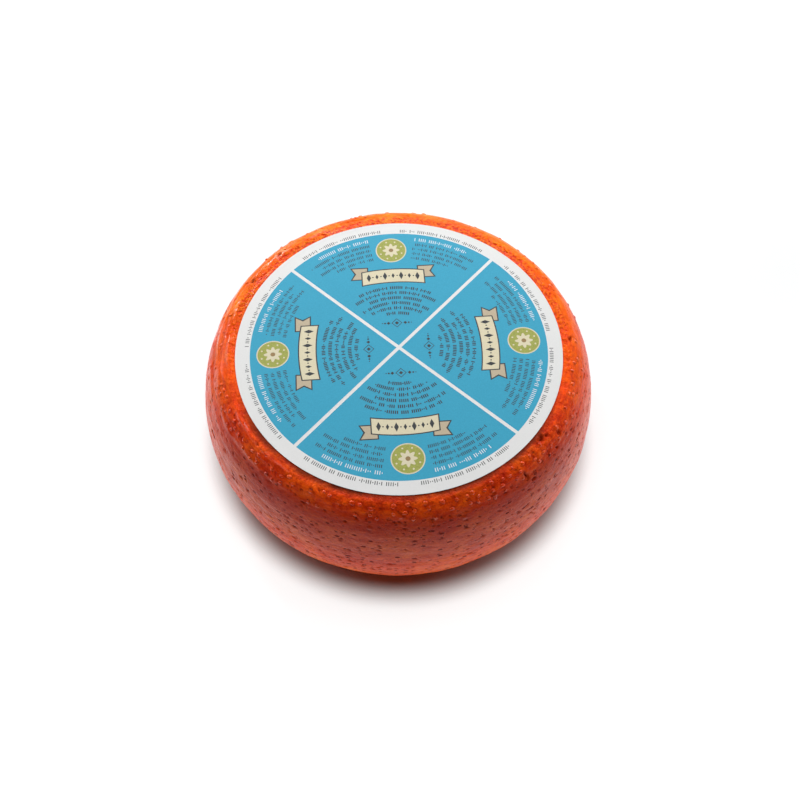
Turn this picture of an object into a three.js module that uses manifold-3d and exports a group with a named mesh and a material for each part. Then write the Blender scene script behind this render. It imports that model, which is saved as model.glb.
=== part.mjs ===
// A whole wheel of pecorino: a low round cheese with bulging sides, a coated red-orange rind full of
// small pits, and a round paper label stuck on its top.
// Millimetres, +Z up, the origin at the middle of the flat base.

import * as THREE from 'three';
import { mergeVertices } from 'three/addons/utils/BufferGeometryUtils.js';
import Module from 'manifold-3d';

const wasm = await Module();
wasm.setup();

// Driving dimensions.
const labelRadius = 75;
const labelThickness = 0.3;
const wheelRadius = 94; // at the widest level of the side
const wheelHeight = 70; // from the base to the face of the label
const widestHeight = 31; // how high the widest level lies
const flatTopRadius = 79; // the top is flat out to here, and then rolls over into the shoulder
const flatBaseRadius = 76.5;
const shoulderPower = 1.75; // a superellipse's power: 2 is round, less is leaner
const footPower = 1.85;

// The label was stuck on a little off the middle, towards the front.
const labelOffset = new THREE.Vector3(0.4, -1.5, 0);

// How far the side swells and shrinks round the wheel, each as [waves, amount, phase].
const swells = [
  [2, 0.16, 0.6],
  [3, 0.1, 2.1],
  [7, 0.05, 4.0],
];

const rindTop = wheelHeight - labelThickness;
const turnSegments = 80;
const profileSteps = 20;
const degree = Math.PI / 180;

// A place on the rind is an azimuth, in degrees anticlockwise from +X, and a level round the profile in
// degrees: 0 is the edge of the flat top, 90 the widest level and 180 the edge of the flat base.
// A mark has a length round the wheel, a width up the profile, a depth or height, and a turn in degrees.

// The hollows that stand out.
const eyes = [
  { azimuth: -38.4, level: 3, length: 3.6, width: 3.0, depth: 1.7, turn: 20 }, // a burst hole by the label
  { azimuth: -36.4, level: 7, length: 2.2, width: 1.8, depth: 1.1, turn: 0 },
  { azimuth: -49.6, level: 27, length: 1.1, width: 5.0, depth: 1.3, turn: 12 }, // a crack down the shoulder
  { azimuth: -47.4, level: 37, length: 3.4, width: 1.2, depth: 1.0, turn: -8 }, // and the fold at its foot
  { azimuth: -32.4, level: 21, length: 2.6, width: 1.8, depth: 1.0, turn: 30 },
  { azimuth: -35.9, level: 31, length: 2.0, width: 1.2, depth: 0.9, turn: 0 },
  { azimuth: 2.5, level: 4, length: 3.2, width: 2.0, depth: 1.1, turn: -15 },
  { azimuth: 137.2, level: 4, length: 3.8, width: 2.2, depth: 1.2, turn: 10 },
  { azimuth: 151.7, level: 5, length: 3.4, width: 2.0, depth: 1.1, turn: -10 },
  { azimuth: -139.7, level: 4, length: 2.4, width: 1.5, depth: 0.8, turn: 0 },
  { azimuth: -158.0, level: 62, length: 5.2, width: 1.4, depth: 0.8, turn: 0 },
  { azimuth: 64.0, level: 58, length: 3.8, width: 1.8, depth: 1.0, turn: 5 },
  { azimuth: 108.0, level: 80, length: 4.4, width: 1.6, depth: 0.9, turn: -4 },
];

// The marks scattered over the rind, each row a band of one kind, with the least and most of its sizes.
const scatters = [
  { kind: 'bubble', count: 30, band: [14, 44], length: [1.8, 2.8], width: [1.8, 2.6], depth: [0.35, 0.55] },
  { kind: 'dimple', count: 54, band: [1, 12], length: [3.2, 5.0], width: [2.4, 3.4], depth: [0.5, 0.8] },
  { kind: 'pit', count: 150, band: [42, 128], length: [2.4, 4.6], width: [1.1, 1.9], depth: [0.55, 0.95] },
  { kind: 'pit', count: 36, band: [128, 160], length: [1.8, 3.2], width: [1.0, 1.5], depth: [0.5, 0.7] },
];
const scatterTurn = [-14, 14];
const leastSpacing = 4.8; // between the middles of two marks
const mostTries = 60; // for a free place
const seed = 20;

// The bodies that marks are made from, in half-sizes of 1. Each is moved off the rind by its overhang, a
// share of the mark's depth, so that only its cap takes part. rim gives a body's radius at a height.
const roundBody = {
  geometry: () => new THREE.OctahedronGeometry(1, 1),
  overhang: 0.35,
  rim: (height) => Math.sqrt(1 - height ** 2),
};
const pointedBody = {
  geometry: () => new THREE.SphereGeometry(1, 6, 2).rotateX(Math.PI / 2),
  overhang: 0.15,
  rim: (height) => 1 - height,
};
const bodyOf = { eye: roundBody, bubble: roundBody, dimple: pointedBody, pit: pointedBody };

// A small repeatable random number source, giving 0 to 1.
function randomSource(start) {
  let state = start;
  return () => {
    state = (state + 0x6d2b79f5) | 0;
    let mixed = Math.imul(state ^ (state >>> 15), 1 | state);
    mixed = (mixed + Math.imul(mixed ^ (mixed >>> 7), 61 | mixed)) ^ mixed;
    return ((mixed ^ (mixed >>> 14)) >>> 0) / 2 ** 32;
  };
}

function between([low, high], random) {
  return low + (high - low) * random();
}

// The profile at a level: its radius, its height, and its outward slope as [outward, upward].
function profileAt(level) {
  const upper = level <= 90;
  const power = upper ? shoulderPower : footPower;
  const flatRadius = upper ? flatTopRadius : flatBaseRadius;
  const reach = wheelRadius - flatRadius;
  const rise = upper ? rindTop - widestHeight : widestHeight;
  const out = Math.sin(level * degree) ** (2 / power);
  const up = Math.abs(Math.cos(level * degree)) ** (2 / power);
  const side = upper ? 1 : -1;
  return {
    radius: flatRadius + reach * out,
    height: widestHeight + side * rise * up,
    slope: [out ** (power - 1) / reach, (side * up ** (power - 1)) / rise],
  };
}

function swellAt(angle) {
  return swells.reduce((sum, [waves, amount, phase]) => sum + amount * Math.sin(waves * angle + phase), 0);
}

// The frame of a place on the rind: x runs round the wheel, y up the profile and z out of the rind.
function rindFrame({ azimuth, level }) {
  const angle = azimuth * degree;
  const { radius, height, slope } = profileAt(level);
  const swollen = radius + swellAt(angle);
  const outward = new THREE.Vector3(slope[0] * Math.cos(angle), slope[0] * Math.sin(angle), slope[1]);
  outward.normalize();
  const around = new THREE.Vector3(-Math.sin(angle), Math.cos(angle), 0);
  const upward = new THREE.Vector3().crossVectors(outward, around);
  const frame = new THREE.Matrix4().makeBasis(around, upward, outward);
  return frame.setPosition(swollen * Math.cos(angle), swollen * Math.sin(angle), height);
}

function rindPoint(place) {
  return new THREE.Vector3().setFromMatrixPosition(rindFrame(place));
}

// A closed geometry as a solid: its shared vertices are merged, and faces that have no area are dropped.
function solidOf(geometry) {
  const bare = geometry.clone();
  bare.deleteAttribute('normal');
  bare.deleteAttribute('uv');
  const merged = mergeVertices(bare, 1e-4);
  const faces = [];
  for (let i = 0; i < merged.index.count; i += 3) {
    const [a, b, c] = merged.index.array.slice(i, i + 3);
    if (a !== b && b !== c && a !== c) faces.push(a, b, c);
  }
  return new wasm.Manifold(new wasm.Mesh({
    numProp: 3,
    vertProperties: new Float32Array(merged.attributes.position.array),
    triVerts: new Uint32Array(faces),
  }));
}

function geometryOf(solid) {
  const mesh = solid.getMesh();
  const geometry = new THREE.BufferGeometry();
  geometry.setAttribute('position', new THREE.BufferAttribute(mesh.vertProperties, 3));
  geometry.setIndex(new THREE.BufferAttribute(mesh.triVerts, 1));
  geometry.computeVertexNormals();
  return geometry;
}

// The wheel without its marks: the profile turned round the axis, then swelled where the side isn't round.
function smoothWheel() {
  const profile = [new THREE.Vector2(0, 0)];
  for (let step = profileSteps; step >= 0; step -= 1) {
    const { radius, height } = profileAt((180 * step) / profileSteps);
    profile.push(new THREE.Vector2(radius, height));
  }
  profile.push(new THREE.Vector2(0, rindTop));
  const geometry = new THREE.LatheGeometry(profile, turnSegments);
  geometry.rotateX(Math.PI / 2);
  const position = geometry.attributes.position;
  for (let i = 0; i < position.count; i += 1) {
    const [x, y] = [position.getX(i), position.getY(i)];
    const radius = Math.hypot(x, y);
    if (radius < labelRadius) continue;
    const grow = 1 + swellAt(Math.atan2(y, x)) / radius;
    position.setXY(i, x * grow, y * grow);
  }
  return solidOf(geometry);
}

// One mark as a solid that reaches its depth below the rind or, as a bubble, that height above it.
function markSolid(mark) {
  const body = bodyOf[mark.kind];
  const side = mark.kind === 'bubble' ? -1 : 1;
  const rim = body.rim(body.overhang / (1 + body.overhang));
  const geometry = body.geometry();
  geometry.scale(mark.length / 2 / rim, mark.width / 2 / rim, mark.depth * (1 + body.overhang));
  geometry.rotateZ(mark.turn * degree);
  geometry.translate(0, 0, side * mark.depth * body.overhang);
  geometry.applyMatrix4(rindFrame(mark));
  return solidOf(geometry);
}

// A random place in a band of levels that is clear of all the taken points, or null if none is found.
function freePlace(band, taken, random) {
  for (let attempt = 0; attempt < mostTries; attempt += 1) {
    const place = { azimuth: 360 * random(), level: between(band, random) };
    const point = rindPoint(place);
    if (taken.every((other) => other.distanceTo(point) >= leastSpacing)) return place;
  }
  return null;
}

// Every mark on the rind: the eyes, and then the scattered ones in the places that are left.
function allMarks() {
  const random = randomSource(seed);
  const marks = eyes.map((eye) => ({ kind: 'eye', ...eye }));
  const taken = marks.map(rindPoint);
  for (const { kind, count, band, length, width, depth } of scatters) {
    for (let i = 0; i < count; i += 1) {
      const place = freePlace(band, taken, random);
      if (!place) continue;
      taken.push(rindPoint(place));
      marks.push({
        kind,
        ...place,
        length: between(length, random),
        width: between(width, random),
        depth: between(depth, random),
        turn: between(scatterTurn, random),
      });
    }
  }
  return marks;
}

function joined(marks) {
  return marks.map(markSolid).reduce((sum, solid) => sum.add(solid));
}

function cheeseWheel() {
  const marks = allMarks();
  const bubbles = joined(marks.filter(({ kind }) => kind === 'bubble'));
  const hollows = joined(marks.filter(({ kind }) => kind !== 'bubble'));
  const wheel = smoothWheel().add(bubbles).subtract(hollows);
  const material = new THREE.MeshStandardMaterial({ color: 0xc8401c, roughness: 0.42, metalness: 0 });
  const mesh = new THREE.Mesh(geometryOf(wheel), material);
  mesh.name = 'cheese_wheel';
  return mesh;
}

// The paper label: a thin round sheet lying on the flat top.
function paperLabel() {
  const geometry = new THREE.CylinderGeometry(labelRadius, labelRadius, labelThickness, turnSegments);
  geometry.rotateX(Math.PI / 2);
  const material = new THREE.MeshStandardMaterial({ color: 0x46a9cc, roughness: 0.65, metalness: 0 });
  const mesh = new THREE.Mesh(geometry, material);
  mesh.name = 'paper_label';
  mesh.position.copy(labelOffset).setZ(rindTop + labelThickness / 2);
  return mesh;
}

const pecorino = new THREE.Group();
pecorino.add(cheeseWheel(), paperLabel());

export default pecorino;
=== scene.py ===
"""Dresses the pecorino wheel: a pitted, coated rind and a printed paper label, on a white studio floor.

Metres, in the model's frame: +Z up, the origin at the middle of the wheel's base. The label's print is a
generic design of plain strokes, ribbons with diamonds and roundels with a flower.
"""

import math

import bmesh
import bpy
import numpy as np
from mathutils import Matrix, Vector
from mathutils.geometry import delaunay_2d_cdt


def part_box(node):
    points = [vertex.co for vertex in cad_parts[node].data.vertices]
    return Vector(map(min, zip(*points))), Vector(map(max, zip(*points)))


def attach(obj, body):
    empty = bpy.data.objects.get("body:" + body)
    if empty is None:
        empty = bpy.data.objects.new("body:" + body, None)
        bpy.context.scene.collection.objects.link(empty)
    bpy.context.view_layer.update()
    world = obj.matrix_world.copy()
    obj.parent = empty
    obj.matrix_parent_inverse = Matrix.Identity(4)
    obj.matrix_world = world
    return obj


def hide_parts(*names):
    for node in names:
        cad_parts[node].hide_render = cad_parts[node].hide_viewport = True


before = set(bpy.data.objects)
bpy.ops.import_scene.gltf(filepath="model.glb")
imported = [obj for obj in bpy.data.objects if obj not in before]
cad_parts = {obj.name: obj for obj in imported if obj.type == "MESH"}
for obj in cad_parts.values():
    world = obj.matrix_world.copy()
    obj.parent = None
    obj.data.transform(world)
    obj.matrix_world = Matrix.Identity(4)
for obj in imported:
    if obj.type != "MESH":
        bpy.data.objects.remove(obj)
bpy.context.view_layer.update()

MM = 0.001
SEED = 7

# Driving sizes, from the frame.
LABEL_LOW, LABEL_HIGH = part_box("paper_label")
LABEL_RADIUS = (LABEL_HIGH.x - LABEL_LOW.x) / 2
LABEL_MIDDLE = (LABEL_LOW + LABEL_HIGH) / 2
RIND_TOP = LABEL_LOW.z
LABEL_FACE = LABEL_HIGH.z

# The wheel's profile, the same superellipses as the solid's.
WHEEL_RADIUS = 94 * MM
WIDEST_HEIGHT = 31 * MM
FLAT_TOP_RADIUS = 79 * MM
FLAT_BASE_RADIUS = 76.5 * MM
SHOULDER_POWER = 1.75
FOOT_POWER = 1.85
SWELLS = ((2, 0.16 * MM, 0.6), (3, 0.10 * MM, 2.1), (7, 0.05 * MM, 4.0))  # waves round, amount, phase

# The rind's mesh: its columns go round the wheel, its rows down the profile from under the label.
COLUMNS = 760
FINE_ROW = 0.62 * MM
COARSE_ROW = 1.1 * MM
COARSE_FROM_LEVEL = 118  # degrees round the profile; from here on the side turns in under the bulge
RIND_START_RADIUS = 72 * MM
INNER_RINGS = (60 * MM, 40 * MM, 20 * MM)  # of the flat base and of the top under the label

# The camera, solved from the label's circles.
CAMERA_DISTANCE = 5.89 * LABEL_RADIUS
CAMERA_ELEVATION = math.radians(55.52)
CAMERA_TILT = math.radians(31.336)  # from straight down
CAMERA_TURN = math.radians(-0.112)
FOCAL_PIXELS = 961.0
PHOTO_PIXELS = 800
SENSOR = 36.0


# ----
# Profile and places on the rind
# ----

def profile_at(level):
    """Radius and height at a level: 0 the edge of the flat top, 90 the widest, 180 the edge of the base."""
    level = np.asarray(level, float)
    upper = level <= 90
    power = np.where(upper, SHOULDER_POWER, FOOT_POWER)
    flat = np.where(upper, FLAT_TOP_RADIUS, FLAT_BASE_RADIUS)
    rise = np.where(upper, RIND_TOP - WIDEST_HEIGHT, WIDEST_HEIGHT)
    out = np.abs(np.sin(np.radians(level))) ** (2 / power)
    up = np.abs(np.cos(np.radians(level))) ** (2 / power)
    radius = flat + (WHEEL_RADIUS - flat) * out
    height = WIDEST_HEIGHT + np.where(upper, 1, -1) * rise * up
    return radius, height


def swell_at(angle):
    return sum(amount * np.sin(waves * angle + phase) for waves, amount, phase in SWELLS)


LEVELS = np.linspace(0, 180, 4001)
LEVEL_RADIUS, LEVEL_HEIGHT = profile_at(LEVELS)
LEVEL_LENGTH = np.concatenate([[0], np.cumsum(np.hypot(np.diff(LEVEL_RADIUS), np.diff(LEVEL_HEIGHT)))])


def length_at(level):
    """How far down the profile a level lies, from the edge of the flat top."""
    return np.interp(level, LEVELS, LEVEL_LENGTH)


def rind_point(azimuth, level):
    angle = math.radians(azimuth)
    radius, height = profile_at(level)
    swollen = float(radius) + swell_at(angle)
    return np.array([swollen * math.cos(angle), swollen * math.sin(angle), float(height)])


def turn_from(angles, middle):
    """How far each angle lies from the middle one, the short way round."""
    return (angles - middle + math.pi) % (2 * math.pi) - math.pi


# ----
# Marks: the eyes and the larger marks are the solid's own, and the finer ones are added between them.
# Their places and turns are in degrees and their sizes in millimetres.
# ----

# azimuth, level, length round the wheel, width down the profile, depth, turn
EYES = (
    (-38.4, 3, 3.6, 3.0, 1.7, 20),
    (-36.4, 7, 2.2, 1.8, 1.1, 0),
    (-49.6, 27, 1.1, 5.0, 1.3, 12),
    (-47.4, 37, 3.4, 1.2, 1.0, -8),
    (-32.4, 21, 2.6, 1.8, 1.0, 30),
    (-35.9, 31, 2.0, 1.2, 0.9, 0),
    (2.5, 4, 3.2, 2.0, 1.1, -15),
    (137.2, 4, 3.8, 2.2, 1.2, 10),
    (151.7, 5, 3.4, 2.0, 1.1, -10),
    (-139.7, 4, 2.4, 1.5, 0.8, 0),
    (-158.0, 62, 5.2, 1.4, 0.8, 0),
    (64.0, 58, 3.8, 1.8, 1.0, 5),
    (108.0, 80, 4.4, 1.6, 0.9, -4),
)
# kind, count, band of levels, then the least and most length, width and depth
SOLID_SCATTERS = (
    ("bubble", 30, (14, 44), (1.8, 2.8), (1.8, 2.6), (0.35, 0.55)),
    ("dimple", 54, (1, 12), (3.2, 5.0), (2.4, 3.4), (0.5, 0.8)),
    ("pit", 150, (42, 128), (2.4, 4.6), (1.1, 1.9), (0.55, 0.95)),
    ("pit", 36, (128, 160), (1.8, 3.2), (1.0, 1.5), (0.5, 0.7)),
)
SOLID_SPACING = 4.8 * MM
SOLID_TRIES = 60
SOLID_SEED = 20
SOLID_TURN = (-14, 14)
# The solid's marks are as large as its facets need: each kind's size and depth are scaled to the real ones.
TRUE_SIZE = {"eye": (1.0, 1.0), "bubble": (0.9, 1.1), "dimple": (0.55, 0.5), "pit": (0.66, 0.85)}
FRONT_DIMPLE_LOSS = 0.75  # how much of its depth a dimple loses at the very front

FINE_SCATTERS = (
    ("blister", 190, (7, 30), (1.5, 2.5), (1.4, 2.2), (0.42, 0.64)),
    ("dimple", 520, (-22, 4), (1.2, 2.0), (1.0, 1.6), (0.14, 0.30)),
    ("pit", 950, (30, 150), (1.1, 2.2), (0.8, 1.1), (0.26, 0.55)),
    ("pit", 70, (8, 34), (0.9, 1.6), (0.8, 1.2), (0.25, 0.5)),
)
FINE_TURN = (-25, 25)
FRONT_FEWER_DIMPLES = 1.1  # the share that is left out at the front; over 1, none is left there
FLAT_LEVEL = 0.25 * MM  # a level under 0 lies on the flat top, this far in for each degree

BLISTER_CLUSTERS = ((-54, 13), (-66, 22), (-150, 18))  # the azimuths they gather about, and how widely
CLUSTERED_SHARE = 0.75
BLISTER_SPACING = 2.7 * MM
BLISTER_SIDES = 14
BLISTER_RINGS = 5
BLISTER_SINK = 0.16 * MM  # how far a blister's foot lies in the rind
BLISTER_SWEEP = math.radians(100)  # from its top down to its lowest ring
BLISTER_GLOSS = 0.8
BLISTER_SHADE = (0.5, 1.1, 0.6)  # how dark its foot is, the tilt where that starts and the span it takes

# How a mark shapes and tints the rind, where inside goes from 1 in its middle to 0 at its edge, and lip is
# the ring round it: the rise and power of the inside, the rise of the lip, the darkness and power of the
# inside, the darkness of the lip and the gloss. Rises are shares of the mark's depth. The darkness is partly
# the coating's deeper red and partly painted shade, in a hollow and round the foot of a raised mark.
PRESSES = {
    "eye": (-1, 0.6, 0.07, 1, 0.5, 0, 0),
    "pit": (-1, 0.6, 0.07, 1, 0.5, 0, 0),
    "dimple": (-1, 1, 0.12, 0.22, 1, 0, 0),
    "bubble": (1, 0.7, -0.15, 0, 1, 0.35, 1),
    "blister": (0, 1, -0.12, 0, 1, 0.55, 0),
}
GLOSS_POWER = 0.3
MARK_REACH = 0.85  # how far from its middle a mark is felt, in its larger size
LIP_RADIUS = 1.12  # in the mark's half-size
LIP_WIDTH = 0.2
MARK_LOBES = ((3, 0.14, 1), (5, 0.07, 2))  # lobes, amount, and how fast they turn from mark to mark

# Long creases round the shoulder: azimuths from and to, level, width and depth.
CREASES = (
    (128, 238, 1, 2.0, 0.42),
    (140, 200, 13, 1.8, 0.30),
    (196, 222, 24, 2.2, 0.22),
    (12, 74, 7, 2.2, 0.12),
)
CREASE_WAVES = ((5, 0.7 * MM), (13, 0.35 * MM))  # waves round the wheel and how far each leads it astray
CREASE_BREAKS = ((9, 0.6), (17, 0.5))  # waves round the wheel and how strongly each breaks it up
CREASE_STRENGTH = 0.6  # its strength before it is broken up
CREASE_LIP_PLACE = 1.7  # outwards from its middle, in its half-width
CREASE_LIP_RISE = 0.5  # a share of its depth
# the groove's darkness: partly the coating's deeper red, partly painted shade
CREASE_TINT = 0.16
CREASE_GLOSS = 0.9


def solid_random(start):
    """The solid's own small random number source, giving 0 to 1."""
    state = start
    while True:
        state = (state + 0x6D2B79F5) & 0xFFFFFFFF
        mixed = ((state ^ (state >> 15)) * (1 | state)) & 0xFFFFFFFF
        mixed = (mixed + (mixed ^ (mixed >> 7)) * (61 | mixed)) & 0xFFFFFFFF ^ mixed
        yield (mixed ^ (mixed >> 14)) / 2**32


def frontness(azimuth):
    """1 at the front of the wheel and 0 at its back."""
    return (1 - math.sin(math.radians(azimuth))) / 2


def true_size(mark):
    """One of the solid's marks at its real size. The dimples are shallow at the front."""
    kind, azimuth, level, length, width, depth, turn = mark
    size, deep = TRUE_SIZE[kind]
    if kind == "dimple":
        deep *= 1 - FRONT_DIMPLE_LOSS * frontness(azimuth)
    return (kind, azimuth, level, length * size, width * size, depth * deep, turn)


def solid_marks():
    """The marks of the solid, in the order that it draws them."""
    draws = solid_random(SOLID_SEED)

    def between(low, high):
        return low + (high - low) * next(draws)

    marks = [("eye", *eye) for eye in EYES]
    taken = [rind_point(mark[1], mark[2]) for mark in marks]
    for kind, count, band, length, width, depth in SOLID_SCATTERS:
        for _ in range(count):
            for _ in range(SOLID_TRIES):
                azimuth = 360 * next(draws)
                level = between(*band)
                point = rind_point(azimuth, level)
                if min(np.linalg.norm(np.array(taken) - point, axis=1)) >= SOLID_SPACING:
                    taken.append(point)
                    sizes = [between(*length), between(*width), between(*depth), between(*SOLID_TURN)]
                    marks.append((kind, azimuth, level, *sizes))
                    break
    return marks


def fine_marks(draw):
    """The scattered fine marks. The dimples are at the back, and most blisters are in the clusters."""
    marks = []
    taken = []
    for kind, count, band, length, width, depth in FINE_SCATTERS:
        for _ in range(count):
            azimuth = draw.uniform(0, 360)
            level = draw.uniform(*band)
            if kind == "dimple" and draw.random() < FRONT_FEWER_DIMPLES * frontness(azimuth):
                continue
            if kind == "blister":
                if draw.random() < CLUSTERED_SHARE:
                    azimuth = draw.normal(*BLISTER_CLUSTERS[draw.integers(len(BLISTER_CLUSTERS))])
                point = rind_point(azimuth, level)
                if any(np.linalg.norm(point - other) < BLISTER_SPACING for other in taken):
                    continue
                taken.append(point)
            sizes = [draw.uniform(*length), draw.uniform(*width), draw.uniform(*depth)]
            marks.append((kind, azimuth, level, *sizes, draw.uniform(*FINE_TURN)))
    return marks


# ----
# The rind's mesh
# ----

# Waves of the whole rind: height, wavelength, number of waves, and how much faster they are up the wheel.
BROAD_WAVES = (0.09 * MM, 26 * MM, 24, 1.0)
SHORT_WAVES = (0.035 * MM, 9 * MM, 40, 1.6)
# Folds of the unrolled rind, which run round the wheel.
FOLD_WAVES = (0.085 * MM, 6 * MM, 30, 1.0)
WRINKLE_WAVES = (0.035 * MM, 2.6 * MM, 60, 1.0)
FOLD_STRETCH = 0.28  # how fast the folds change round the wheel, against down its profile
FOLD_LEVELS = (14, 40)  # between these the folds fade to what is left of them on the side
SIDE_FOLDS = 0.45
WAVELENGTH_SPREAD = (0.7, 1.5)
# The coating is thick and glossy about this azimuth.
GLOSSY_SIDE = math.radians(172)
GLOSSY_GAIN = 1.8
GLOSSY_CUT = 0.5
# the fold floor's darkness is partly the coating's deeper red and partly painted shade
FOLD_TINT = (0.28, 0.3)  # how dark the fold's floor is, and from what depth on
FOLD_GLOSS = (1.2, 0.4, 0.8)  # how glossy its crest is, from what height on, and over what height
BASE_SINK = 0.23 * MM  # the whole rind lies this far in, so that its crests stay inside the solid's box
UNDER_LABEL = (1.5 * MM, 0.1 * MM)  # the relief fades over this from the label's edge, to this far down
FOOT_FADE = 3 * MM


def mesh_object(name, points, faces, materials, smooth=True):
    mesh = bpy.data.meshes.new(name)
    mesh.from_pydata([tuple(p) for p in points], [], faces)
    mesh.validate()
    mesh.polygons.foreach_set("use_smooth", [smooth] * len(mesh.polygons))
    for material in materials:
        mesh.materials.append(material)
    made = bpy.data.objects.new(name, mesh)
    bpy.context.scene.collection.objects.link(made)
    return made


def note_on_points(made, **notes):
    """Stores named values on a mesh's points, for its material to read."""
    for name, amount in notes.items():
        layer = made.data.attributes.new(name, "FLOAT", "POINT")
        layer.data.foreach_set("value", amount)


def waves(points, wavelength, count, squash, draw):
    """Smooth seamless noise of about unit size: a sum of plane waves through the points."""
    scaled = points * np.array([1, 1, squash])
    directions = draw.normal(size=(count, 3))
    directions /= np.linalg.norm(directions, axis=1)[:, None]
    lengths = wavelength * draw.uniform(*WAVELENGTH_SPREAD, count)
    phases = draw.uniform(0, 2 * math.pi, count)
    total = np.zeros(len(points))
    for direction, length, phase in zip(directions, lengths, phases):
        total += np.cos(scaled @ direction * (2 * math.pi / length) + phase)
    return total * math.sqrt(2 / count)


def rind_rows():
    """Radius, height and profile length of each row, from under the label down to the base's edge."""
    step = np.where(LEVELS < COARSE_FROM_LEVEL, FINE_ROW, COARSE_ROW)
    progress = np.concatenate([[0], np.cumsum(np.diff(LEVEL_LENGTH) / step[1:])])
    level = np.interp(np.arange(int(progress[-1]) + 1), progress, LEVELS)
    level = np.append(level, 180.0)
    radius, height = profile_at(level)
    flat = np.arange(RIND_START_RADIUS, FLAT_TOP_RADIUS - FINE_ROW / 2, FINE_ROW)
    radius = np.concatenate([flat, radius])
    height = np.concatenate([np.full(len(flat), RIND_TOP), height])
    length = np.concatenate([flat - FLAT_TOP_RADIUS, length_at(level)])
    return radius, height, length


def stamp(relief, tint, gloss, mark, angles, radius, length):
    """Presses one mark into the relief, a grid of rows by columns, and notes where it is dark, partly with
    painted shade, and glossy.
    """
    kind, azimuth, level, long, wide, depth, turn = mark
    middle = float(length_at(level)) if level >= 0 else level * FLAT_LEVEL
    row = int(np.argmin(np.abs(length - middle)))
    reach = MARK_REACH * max(long, wide) * MM
    rows = np.nonzero(np.abs(length - middle) < reach)[0]
    away = turn_from(angles, math.radians(azimuth))
    columns = np.nonzero(np.abs(away) * radius[row] < reach)[0]
    if len(rows) == 0 or len(columns) == 0:
        return
    along, down = np.meshgrid(away[columns] * radius[row], length[rows] - middle)
    cosine, sine = math.cos(math.radians(turn)), math.sin(math.radians(turn))
    u = (along * cosine - down * sine) / (long * MM / 2)
    v = (along * sine + down * cosine) / (wide * MM / 2)
    spin = azimuth + level  # a different outline for each mark
    lobes = 1 + sum(amount * np.sin(n * np.arctan2(v, u) + speed * spin) for n, amount, speed in MARK_LOBES)
    rho = np.hypot(u, v) / lobes
    inside = np.clip(1 - rho**2, 0, 1)
    lip = np.exp(-(((rho - LIP_RADIUS) / LIP_WIDTH) ** 2))
    rise, power, lip_rise, dark, dark_power, lip_dark, shine = PRESSES[kind]
    grid = np.ix_(rows, columns)
    relief[grid] += depth * MM * (rise * inside**power + lip_rise * lip)
    # its darkness, partly painted shade in the hollow and round a raised mark's foot
    tint[grid] = np.maximum(tint[grid], dark * inside**dark_power + lip_dark * lip)
    gloss[grid] = np.maximum(gloss[grid], shine * inside**GLOSS_POWER)


def press_crease(relief, tint, gloss, crease, angles, length):
    """Presses a long wavy crease into the relief, with a glossy lip on its outer side."""
    start, end, level, width, depth = crease
    away = turn_from(angles, math.radians((start + end) / 2))
    half = math.radians((end - start) / 2)
    phases = (start, end)
    breaks = sum(size * np.sin(n * away + phase) for (n, size), phase in zip(CREASE_BREAKS, phases))
    fade = np.clip(1 - (away / half) ** 2, 0, 1) ** 0.5 * np.clip(CREASE_STRENGTH + breaks, 0, 1)
    astray = sum(size * np.sin(n * away + phase) for (n, size), phase in zip(CREASE_WAVES, phases))
    path = length_at(level) + astray
    across = (length[:, None] - path[None, :]) / (width * MM / 2)
    groove = np.exp(-(across**2)) * fade
    lip = np.exp(-((across - CREASE_LIP_PLACE) ** 2)) * fade
    relief += depth * MM * (CREASE_LIP_RISE * lip - groove)
    # painted shade in the groove, with the coating's deeper red
    np.maximum(tint, CREASE_TINT * groove, out=tint)
    np.maximum(gloss, CREASE_GLOSS * lip, out=gloss)


def dome_points(blister, place, around, up):
    """A blister's top and its rings from there down to its foot, and how dark each point is: painted shade
    at its foot.
    """
    _, azimuth, _, long, wide, depth, turn = blister
    down = np.cross(around, up)
    foot = place - up * BLISTER_SINK
    dark, dark_from, dark_over = BLISTER_SHADE
    points = [foot + up * depth * MM]
    shades = [0.0]
    for tilt in np.linspace(0, BLISTER_SWEEP, BLISTER_RINGS + 1)[1:]:
        for angle in np.arange(BLISTER_SIDES) * 2 * math.pi / BLISTER_SIDES:
            lobe = 1 + 0.10 * math.sin(2 * angle + turn) + 0.05 * math.sin(3 * angle + azimuth)
            reach = math.sin(tilt) * lobe * MM / 2
            side = around * long * reach * math.cos(angle) + down * wide * reach * math.sin(angle)
            points.append(foot + side + up * depth * MM * math.cos(tilt))
            shades.append(dark * max(0.0, (tilt - dark_from) / dark_over))
    return points, shades


def dome_faces(top):
    """A blister's faces, where top is the index of its first point."""
    first = [top + 1 + k * BLISTER_SIDES for k in range(BLISTER_RINGS)]
    faces = []
    for i in range(BLISTER_SIDES):
        after = (i + 1) % BLISTER_SIDES
        faces.append([top, first[0] + after, first[0] + i])
        for inner, outer in zip(first, first[1:]):
            faces.append([inner + i, inner + after, outer + after, outer + i])
    faces.append([first[-1] + i for i in range(BLISTER_SIDES)])
    return faces


def blister_domes(blisters, angles, length, points, outward, material):
    """The small round blisters of the coating, each a low dome that stands on the rind."""
    corners = []
    faces = []
    hollow = []
    for blister in blisters:
        _, azimuth, level, *_ = blister
        row = int(np.argmin(np.abs(length - float(length_at(level)))))
        column = int(round(math.radians(azimuth) / (angles[1] - angles[0]))) % len(angles)
        around = np.array([-math.sin(angles[column]), math.cos(angles[column]), 0])
        faces += dome_faces(len(corners))
        dome, shades = dome_points(blister, points[row, column], around, outward[row, column])
        corners += dome
        hollow += shades
    domes = mesh_object("blisters", corners, faces, [material])
    note_on_points(domes, hollow=hollow, gloss=[BLISTER_GLOSS] * len(corners))
    return domes


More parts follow.
